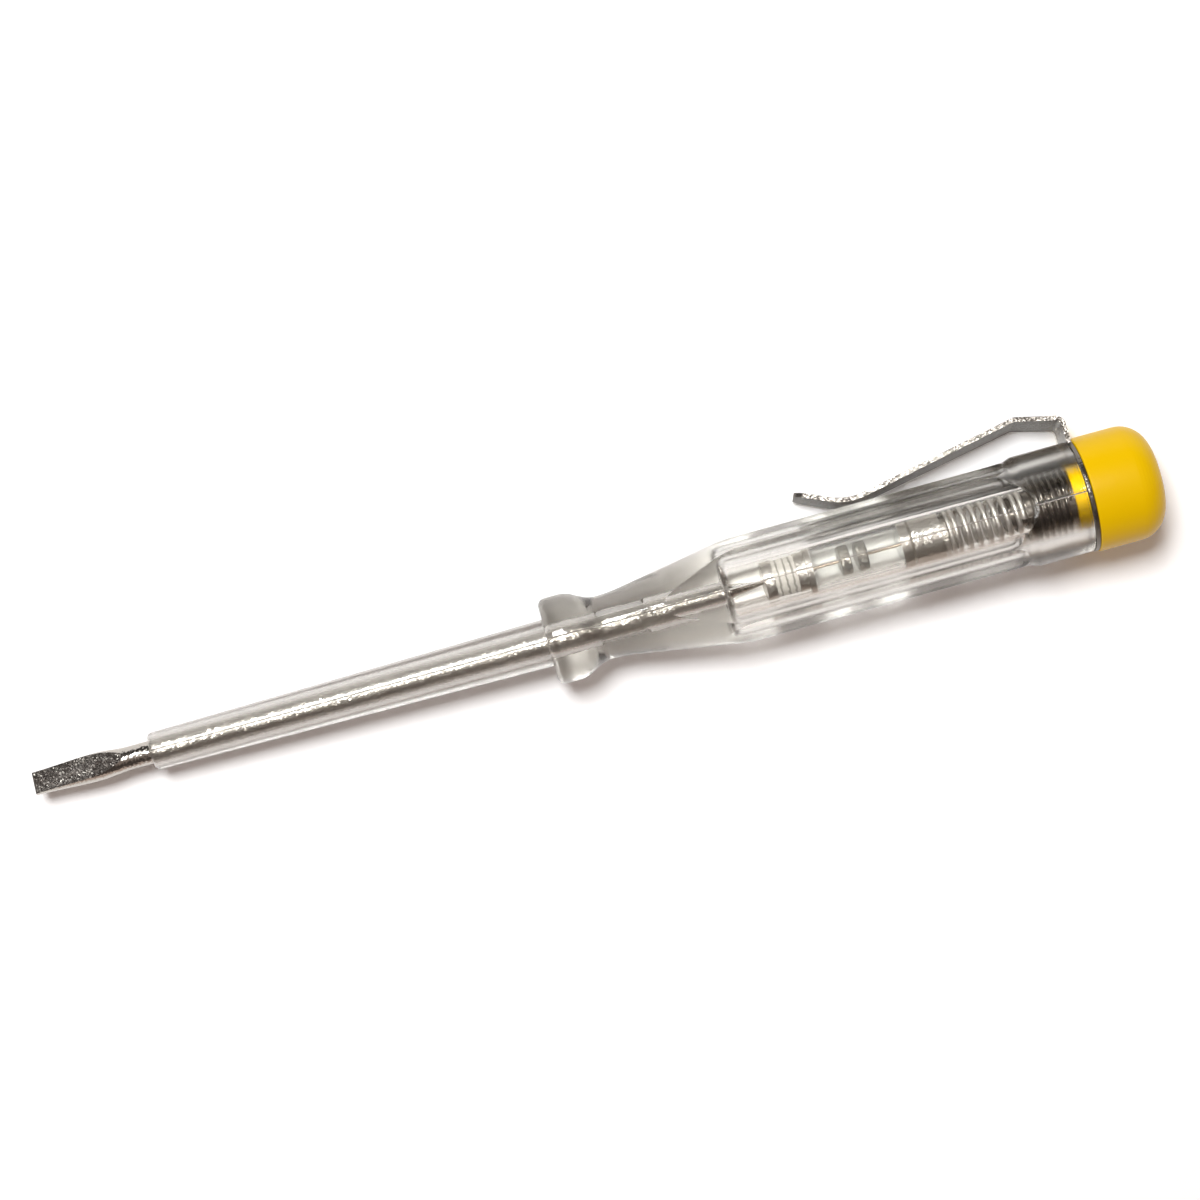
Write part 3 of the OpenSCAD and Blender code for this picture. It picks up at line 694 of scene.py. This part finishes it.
# %% Contact screw
THREAD_L = 5.9
THREAD_PITCH = 0.75
CREST_R = 3.92
CREST_W = 0.08
THREAD_DEPTH = 0.46
FLANK_SHARE = 0.45
ROOT_SINK = 0.1
GUIDE_R = 2.85
GUIDE_L = 2.4
GUIDE_EDGE_R = 0.3
STEM_R = 1.5
TOUCH_R = 2.0
TOUCH_T = 0.7
TOUCH_EDGE_R = 0.15
screw_x = screw_nose_x + GUIDE_L
thread_end = screw_x + THREAD_L
root_r = CREST_R - THREAD_DEPTH
touch_x = touch_end - TOUCH_T
core = turned([(screw_nose_x, 0), (screw_nose_x, GUIDE_R, GUIDE_EDGE_R), (screw_x, GUIDE_R), (screw_x, root_r),
               (thread_end, root_r), (thread_end, STEM_R), (touch_x, STEM_R), (touch_x, TOUCH_R),
               (touch_end, TOUCH_R, TOUCH_EDGE_R), (touch_end, 0)])
flank_w = THREAD_PITCH * FLANK_SHARE
crest_x = screw_x + flank_w
ridge = outline([(screw_x, root_r - ROOT_SINK), (crest_x - CREST_W / 2, CREST_R),
                 (crest_x + CREST_W / 2, CREST_R), (screw_x + 2 * flank_w, root_r - ROOT_SINK)], closed=True)
coil(ridge, ridge.verts[:] + ridge.edges[:], (THREAD_L - 2 * flank_w) / THREAD_PITCH, THREAD_PITCH)
closed_ends(ridge)
screw = joined(core, [ridge], "UNION")
piece(screw, "threaded_contact", thread_metal, ["contact_screw"], "cap")

# %% [markdown]
# ## The cap
# A moulded yellow cap: a spigot in the handle's mouth, a straight side, a large rounding and a slightly
# domed end with a hole for the finger's touch contact. One closed outline is spun round the axis.

# %% Cap
CAP_R = 7.05
CAP_EDGE_R = 3.6
CAP_RIM_R = 0.2
DOME_H = 0.35
DOME_RINGS = (3.2, 2.9, 2.6, 2.3)
SPIGOT_R = 3.94
cap_x = ring_end + GAP
dome_base = CAP_R - CAP_EDGE_R
mouth_r = TOUCH_R + GAP
stem_hole_r = STEM_R + GAP
seat_x = touch_x - GAP
dome_x = end_x - DOME_H * (1 - (mouth_r / dome_base) ** 2)
dome = [(dome_x + DOME_H * (1 - (r / dome_base) ** 2), r) for r in DOME_RINGS]
cap_line = ([(cap_spigot_x, stem_hole_r), (cap_spigot_x, SPIGOT_R), (cap_x, SPIGOT_R),
             (cap_x, CAP_R, CAP_RIM_R), (dome_x, CAP_R, CAP_EDGE_R)] + dome
            + [(end_x, mouth_r), (seat_x, mouth_r), (seat_x, stem_hole_r)])
shell = turned(cap_line, closed=True, steps=160)
piece(shell, "screw_cap", yellow_plastic, ["cap"], "cap")

# %% [markdown]
# ## The clip
# Ring and arm are one strip of spring steel: the ring is clamped under the cap, and the strip bends over,
# kinks and runs down to the handle, where its tip turns up. The path is a wire with rounded corners.
# Extruding its edges sideways gives a sheet, and Solidify gives the sheet its thickness.

# %% The clip's strip
SHEET_T = 0.55
ROOT_W = 6.0
ROOT_H = 6.0
FOOT_W = 4.4
BEND_H = 9.35
BEND_R = 0.9
KINK_H = 10.7
KINK_R = 0.8
KINK_DX = 5.6
FOOT_DX = 27.5
FOOT_H = 6.475
FOOT_R = 6.5
CLIP_L = 33.5
TIP_H = 9.2
TIP_CUTS = 24
NEAR = 0.01
clip_x = (ring_x + ring_end) / 2
kink_x = clip_x - KINK_DX
foot_x = clip_x - FOOT_DX
clip_tip_x = clip_x - CLIP_L
tip_round_x = clip_tip_x - SHEET_T + FOOT_W / 2


def half_width(x):
    """Half the strip's width at a place along the axis."""
    share = min(max((kink_x - x) / (kink_x - foot_x), 0), 1)
    half = (ROOT_W + (FOOT_W - ROOT_W) * share) / 2
    if x < tip_round_x:
        half = min(half, math.sqrt(max((FOOT_W / 2) ** 2 - (tip_round_x - x) ** 2, 0)))
    return half


path = outline([(clip_x, ROOT_H), (clip_x, BEND_H, BEND_R), (kink_x, KINK_H, KINK_R), (foot_x, FOOT_H, FOOT_R),
                (clip_tip_x, TIP_H)])
tail = [edge for edge in path.edges if min(vert.co.x for vert in edge.verts) < clip_tip_x + NEAR]
bmesh.ops.subdivide_edges(path, edges=tail, cuts=TIP_CUTS)
side = bmesh.ops.extrude_edge_only(path, edges=path.edges[:])["geom"]
moved = {item for item in side if isinstance(item, bmesh.types.BMVert)}
for vert in path.verts:
    vert.co.y = half_width(vert.co.x) * (1 if vert in moved else -1)
bmesh.ops.recalc_face_normals(path, faces=path.faces)
sheet = as_object(path, "sheet")
thick = sheet.modifiers.new("thick", "SOLIDIFY")
thick.thickness = SHEET_T
thick.offset = 0
thick.use_even_offset = True
strip = baked(sheet)
bpy.data.objects.remove(sheet)
bmesh.ops.recalc_face_normals(strip, faces=strip.faces)
rolled_about_axis(strip, CLIP_ROLL)
print("strip of", len(strip.faces), "faces")

# %% [markdown]
# A Boolean joins the strip to the flat ring. The ring stays with the handle and the arm flexes, but here
# the finished piece is one rigid mesh on no body, with its placement baked into the mesh.

# %% Clip
RING_R = 6.9
RING_HOLE_R = 4.1
RING_EDGE_R = 0.12
washer = turned([(ring_x, RING_HOLE_R), (ring_x, RING_R, RING_EDGE_R), (ring_end, RING_R, RING_EDGE_R),
                 (ring_end, RING_HOLE_R)], closed=True)
stamping = joined(washer, [strip], "UNION")
clip = piece(stamping, "pocket_clip", clip_steel, ["clip_ring", "clip_arm"])


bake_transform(clip)

# %% [markdown]
# ## The train of parts in the bore
# Resistor, lamp and contact plug are simple turned parts, seen only through the thick handle. The CAD
# pieces have the right shape, so they stay and only get their finish.

# %% Finishes of the parts inside
inside = {
    "resistor_core": ceramic, "resistor_coat": lacquer, "resistor_front_cap": contact_nickel,
    "resistor_rear_cap": contact_nickel, "lamp_glass": lamp_glass, "lamp_front_cap": contact_nickel,
    "lamp_rear_cap": contact_nickel, "lamp_front_lead": lead_wire, "lamp_rear_lead": lead_wire,
    "lamp_front_electrode": electrode_metal, "lamp_rear_electrode": electrode_metal,
    "contact_plug": contact_nickel,
}
for node, finish in inside.items():
    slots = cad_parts[node].data.materials
    slots.clear()
    slots.append(finish)
print("CAD pieces with a new finish:", len(inside))

# %% [markdown]
# ## The table
# The tool lies on a white table, on its flange and its cap, so the table is a plane that touches both.
# Under lamps at a plain level, a white table renders as a pale grey. So for what the camera sees
# directly, in reflections and through the clear plastic, its colour is raised until the lit table is just
# white. It still takes the tool's shadow, and it throws no more light on the tool.

# %% Table
TABLE_SIZE = 3000
TABLE_GAP = 0.05
TABLE_LIFT = 1.43
rest_x = (cap_x + dome_x) / 2
table_slope = (CAP_R - FLANGE_R) / (rest_x - flange_x - FLANGE_L)
plane = bmesh.new()
bmesh.ops.create_grid(plane, x_segments=1, y_segments=1, size=TABLE_SIZE / 2)
bmesh.ops.rotate(plane, verts=plane.verts, cent=(0, 0, 0),
                 matrix=Matrix.Rotation(math.atan(table_slope), 3, "Y"))
bmesh.ops.translate(plane, verts=plane.verts, vec=(0, 0, -CAP_R - TABLE_GAP + table_slope * rest_x))
bmesh.ops.scale(plane, verts=plane.verts, vec=(MM, MM, MM))
table = as_object(plane, "table")
white_table, tree, shader, place = new_material("white_table", Roughness=0.9, Specular_IOR_Level=0.0)
ray = add(tree, "ShaderNodeLightPath").outputs
seen = add(tree, "ShaderNodeMath", {0: ray["Is Camera Ray"], 1: ray["Is Glossy Ray"]}, operation="MAXIMUM")
seen = add(tree, "ShaderNodeMath", {0: seen.outputs[0], 1: ray["Is Transmission Ray"]}, operation="MAXIMUM")
lift = add(tree, "ShaderNodeMapRange", {"Value": seen.outputs[0], "To Min": 1.0, "To Max": TABLE_LIFT})
white = add(tree, "ShaderNodeVectorMath", {0: linear("#f0f1f2")[:3], "Scale": lift.outputs["Result"]},
            operation="SCALE")
tree.links.new(white.outputs[0], shader.inputs["Base Color"])
table.data.materials.append(white_table)
print("table slope", round(math.degrees(math.atan(table_slope)), 2), "degrees")

# %% [markdown]
# ## The key lamp
# One soft box on the clip's side gives the main light and the soft shadow below the tool. It leans a
# little towards the blade's tip, so its mirror image isn't in the window's flat.

# %% Key lamp
KEY_ROLL = math.radians(31)
KEY_LEAN = math.radians(-7)
KEY_DISTANCE = 0.93
KEY_SIZE = 0.26
KEY_WATTS = 7.9
middle = Vector((0.07, 0, 0))
upright = math.cos(KEY_LEAN)
key_way = Vector((math.sin(KEY_LEAN), upright * math.sin(KEY_ROLL), upright * math.cos(KEY_ROLL)))
key_data = bpy.data.lights.new("key_lamp", "AREA")
key_data.size = KEY_SIZE
key_data.energy = KEY_WATTS
key_data.color = linear("#ffffff")[:3]
key = bpy.data.objects.new("key_lamp", key_data)
key.location = middle + KEY_DISTANCE * key_way
key.rotation_euler = (-key_way).to_track_quat("-Z", "Y").to_euler()
scene.collection.objects.link(key)
print("key lamp at", tuple(round(c, 3) for c in key.location), "m")

# %% [markdown]
# ## The room
# Bright metal shows the room around it. A plain grey world would make the shank flat, so the world varies
# with the roll about the tool's axis: a pale ceiling overhead, dark walls, and a bright strip low on the
# near side. Its light is a little warm, and it tints the shadow.

# %% World
ROOM = ((-90, 0.8), (-72, 0.8), (-62, 0.08), (-22, 0.08), (-12, 0.32), (42, 0.32), (50, 0.03), (90, 0.03))
world = bpy.data.worlds.new("studio")
scene.world = world
world.use_nodes = True
tree = world.node_tree
aim = add(tree, "ShaderNodeTexCoord").outputs["Generated"]
parts = add(tree, "ShaderNodeSeparateXYZ", {"Vector": aim}).outputs
roll = add(tree, "ShaderNodeMath", {0: parts["Y"], 1: parts["Z"]}, operation="ARCTAN2").outputs[0]
share = add(tree, "ShaderNodeMapRange", {"Value": roll, "From Min": -math.pi / 2, "From Max": math.pi / 2})
ramp = add(tree, "ShaderNodeValToRGB", {"Fac": share.outputs["Result"]})
stops = ramp.color_ramp.elements
for angle, level in ROOM[1:-1]:
    stops.new((angle + 90) / 180).color = (level, level, level, 1)
for stop, (angle, level) in ((stops[0], ROOM[0]), (stops[-1], ROOM[-1])):
    stop.color = (level, level, level, 1)
background = tree.nodes["Background"].inputs
tree.links.new(ramp.outputs["Color"], background["Strength"])
background["Color"].default_value = linear("#ffe7db")
print("stops in the room:", len(stops))

# %% [markdown]
# ## The camera
# The picture looks down on the tool from 14.5 degrees towards its clip side, and the tool's axis climbs
# about 15.4 degrees across the picture. The camera's three axes come from these two turns, and the lens
# from the scale of the picture: 8.32 pixels for each millimetre on the tool's axis.

# %% Camera
PIXELS = 1200
SCALE = 8.316
VIEW_ROLL = math.radians(14.5)
CLIMB = math.radians(15.38)
DISTANCE = 380
SENSOR = 36
AIM_X = 71.16
EYE_X = 62.0
AIM_UP = 3.3
axis = Vector((1, 0, 0))
across = Vector((0, math.cos(VIEW_ROLL), -math.sin(VIEW_ROLL)))
towards = Vector((0, math.sin(VIEW_ROLL), math.cos(VIEW_ROLL)))
eye = (EYE_X * axis + AIM_UP * across + DISTANCE * towards) * MM
back = (eye - (AIM_X * axis + AIM_UP * across) * MM).normalized()
right = (math.sin(CLIMB) * axis + math.cos(CLIMB) * across).cross(back).normalized()
up = back.cross(right)
camera_data = bpy.data.cameras.new("camera")
camera_data.sensor_width = SENSOR
camera_data.lens = SCALE * SENSOR * DISTANCE / PIXELS
camera = bpy.data.objects.new("camera", camera_data)
camera.matrix_world = Matrix((right, up, back)).transposed().to_4x4()
camera.location = eye
scene.collection.objects.link(camera)
scene.camera = camera
print(f"lens {camera_data.lens:.1f} mm at {DISTANCE} mm")

# %% [markdown]
# ## Light through plastic
# Light crosses many surfaces inside the clear handle before it comes out again, so Cycles may follow each
# path for more bounces than it does by default.

# %% Bounces
scene.cycles.max_bounces = 24
scene.cycles.transmission_bounces = 24
scene.cycles.glossy_bounces = 16
print("bounces:", scene.cycles.max_bounces)
